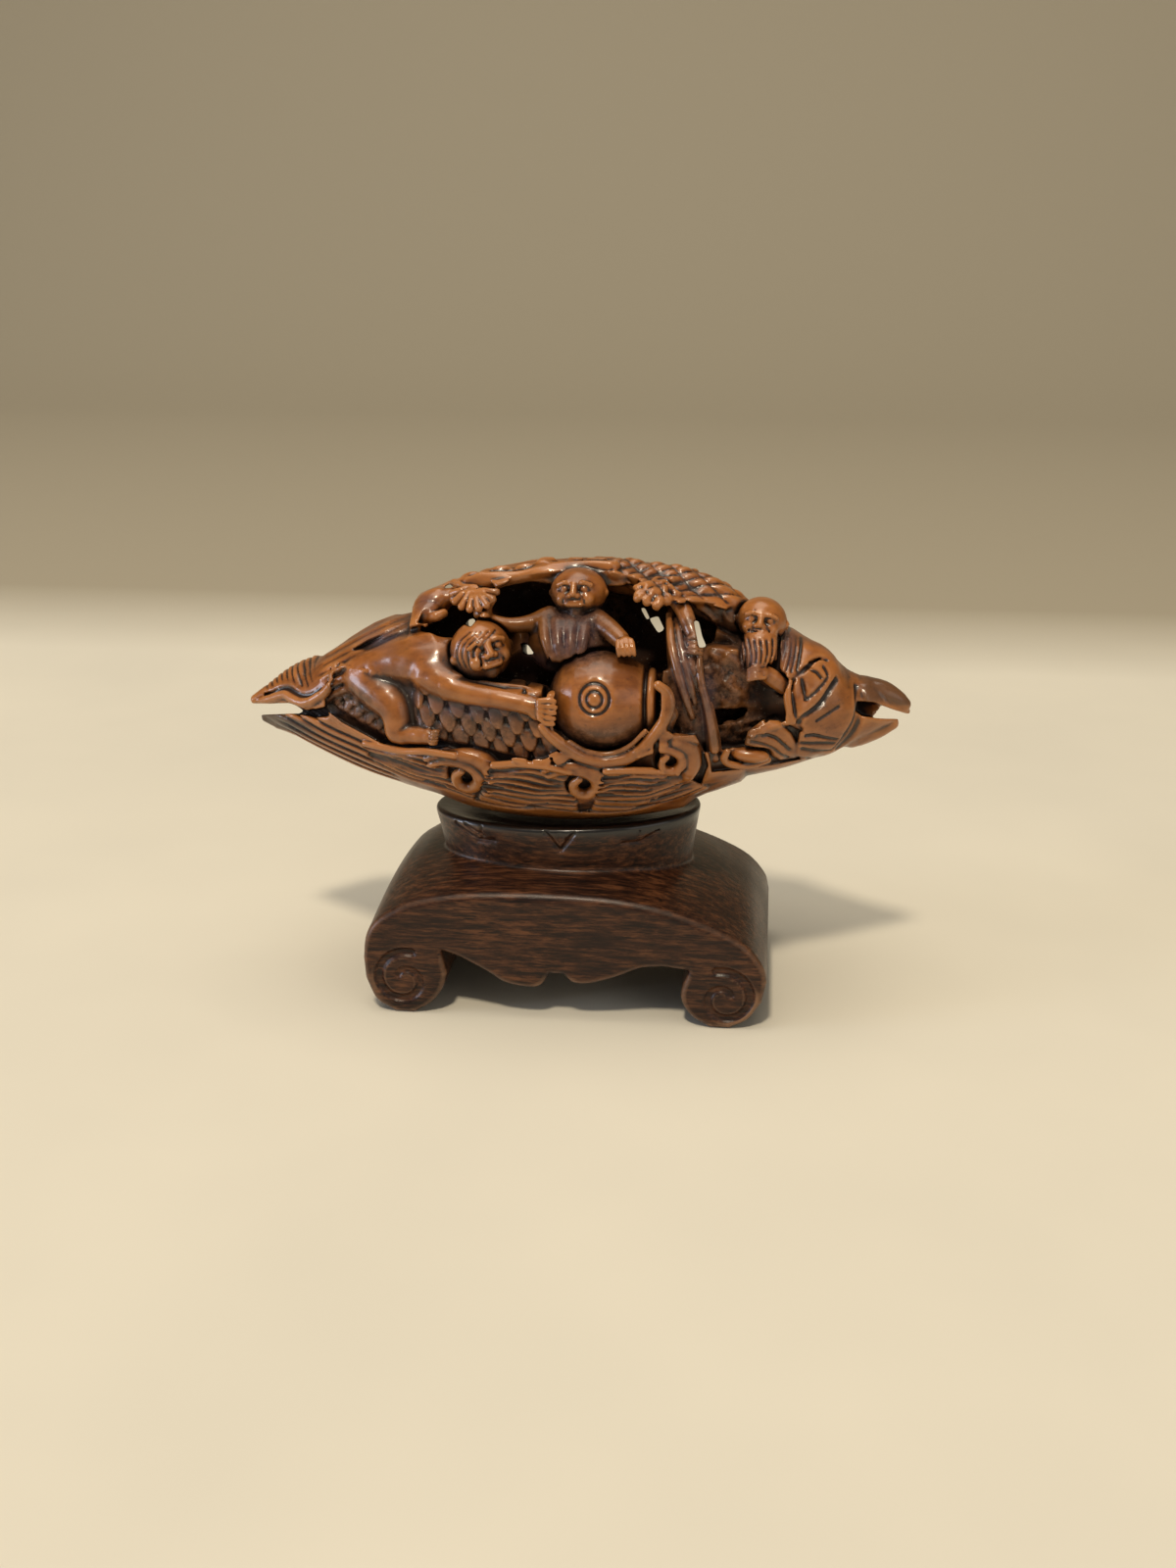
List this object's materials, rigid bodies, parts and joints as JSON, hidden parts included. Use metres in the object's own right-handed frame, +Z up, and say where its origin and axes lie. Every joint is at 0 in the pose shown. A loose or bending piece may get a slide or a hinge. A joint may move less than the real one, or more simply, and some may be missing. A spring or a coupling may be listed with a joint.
{
  "type": "carved olive pit on a stand",
  "caption": "Openwork carving made from an olive stone, with figures, a jar and waves, resting in the oval cup of a dark scroll-footed wooden stand.",
  "frame": {"origin": "middle of the whole object's box, on the floor under the stand's feet", "axes": "+Z up, +X along the pit towards the old man's end, -Y towards the carved front"},
  "size_m": [0.0454, 0.0164, 0.03],
  "materials": {
    "olive_stone": "waxed orange-brown olive stone, dark patina in the recesses, semi-gloss",
    "dark_hardwood": "very dark brown polished hardwood with fine grain, glossy rim"
  },
  "bodies": {
    "root": {"carved_olive_pit": "olive_stone", "stand": "dark_hardwood"}
  },
  "joints": []
}
